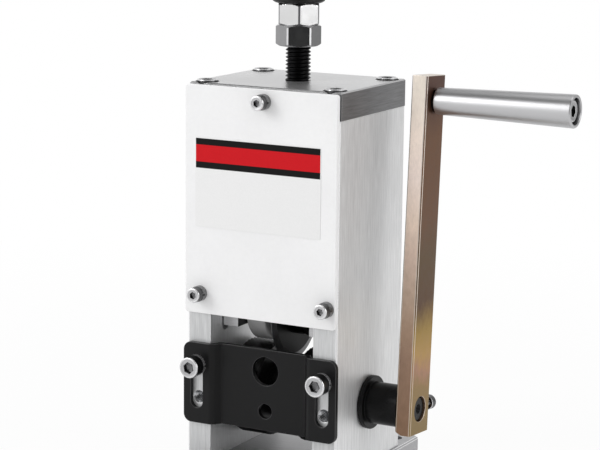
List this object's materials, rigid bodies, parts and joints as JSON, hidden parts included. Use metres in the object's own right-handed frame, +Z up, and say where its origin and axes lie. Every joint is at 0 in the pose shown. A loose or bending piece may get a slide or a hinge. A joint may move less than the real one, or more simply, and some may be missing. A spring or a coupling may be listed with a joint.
{
  "type": "hand crank wire stripper",
  "caption": "Bench hand crank wire stripper: brushed aluminium body with a white cover, slotted black wire guide, side crank with grip, and a star-knob screw that sets the blade.",
  "frame": {"origin": "middle of the base plate's underside, where the tool stands on the bench", "axes": "+X to the side where the crank is, +Y to the back where the stripped wire leaves, +Z up along the adjusting screw"},
  "size_m": [0.178, 0.108, 0.2594],
  "materials": {
    "plate_aluminium": "vertically brushed",
    "block_aluminium": "brushed and satin",
    "cover_white": "white satin",
    "label_vinyl": "white satin film with a black and red band",
    "bright_steel": "bright zinc",
    "chrome_nut": "nickel plated",
    "black_steel": "black oxide",
    "zinc_yellow": "yellow passivated zinc",
    "polished_steel": "polished stainless",
    "tool_steel": "ground",
    "bronze": "oiled bronze",
    "black_plastic": "matt moulded"
  },
  "bodies": {
    "frame": {"base_plate": "plate_aluminium", "side_plate_left": "plate_aluminium", "side_plate_right": "plate_aluminium", "top_block": "block_aluminium", "front_cover": "cover_white", "cover_label": "label_vinyl", "cover_screws": "bright_steel", "cover_washers": "bright_steel", "top_screws": "bright_steel", "base_screws": "bright_steel", "shaft_bushings": "bronze", "bracket_screws": "bright_steel", "bracket_washers": "bright_steel"},
    "guide": {"guide_bracket": "black_steel"},
    "crank": {"crank_shaft": "black_steel", "feed_sleeve": "black_steel", "feed_wheel_left": "black_steel", "feed_wheel_right": "black_steel", "wheel_grub": "black_steel", "drive_collar": "black_steel", "crank_arm": "zinc_yellow", "arm_clamp_screw": "bright_steel", "handle_bolt": "polished_steel", "handle_nut": "black_steel"},
    "grip": {"handle_sleeve": "polished_steel"},
    "carrier": {"blade_carrier": "block_aluminium", "guide_keys": "tool_steel", "blade_axle": "tool_steel"},
    "blade": {"blade_hub": "tool_steel", "blade_disc": "tool_steel", "blade_spacers": "tool_steel", "pressure_drum": "tool_steel", "blade_lock_nut": "tool_steel"},
    "screw": {"lead_screw": "black_steel", "screw_retainer": "bright_steel", "retainer_screw": "bright_steel", "lower_nut": "black_steel", "upper_nut": "chrome_nut", "star_knob": "black_plastic"}
  },
  "joints": [
    {"name": "crank_turn", "type": "hinge", "parent": "frame", "child": "crank", "pos_m": [0.04, 0, 0.0402], "axis": [1, 0, 0], "continuous": true},
    {"name": "grip_spin", "type": "hinge", "parent": "crank", "child": "grip", "pos_m": [0.1, 0.00986, 0.18486], "axis": [1, 0, 0], "continuous": true},
    {"name": "screw_turn", "type": "hinge", "parent": "carrier", "child": "screw", "pos_m": [0, 0, 0.191], "axis": [0, 0, 1], "range_deg": [0, 4115]},
    {"name": "carrier_lift", "type": "slide", "parent": "frame", "child": "carrier", "axis": [0, 0, 1], "range_m": [0, 0.02]},
    {"name": "blade_spin", "type": "hinge", "parent": "carrier", "child": "blade", "pos_m": [0, 0, 0.08], "axis": [1, 0, 0], "continuous": true},
    {"name": "guide_lift", "type": "slide", "parent": "frame", "child": "guide", "axis": [0, 0, 1], "range_m": [0, 0.014]}
  ],
  "couplings": [
    {"joint": "screw_turn", "follows": "carrier_lift", "rad_per_m": 3590.4}
  ]
}
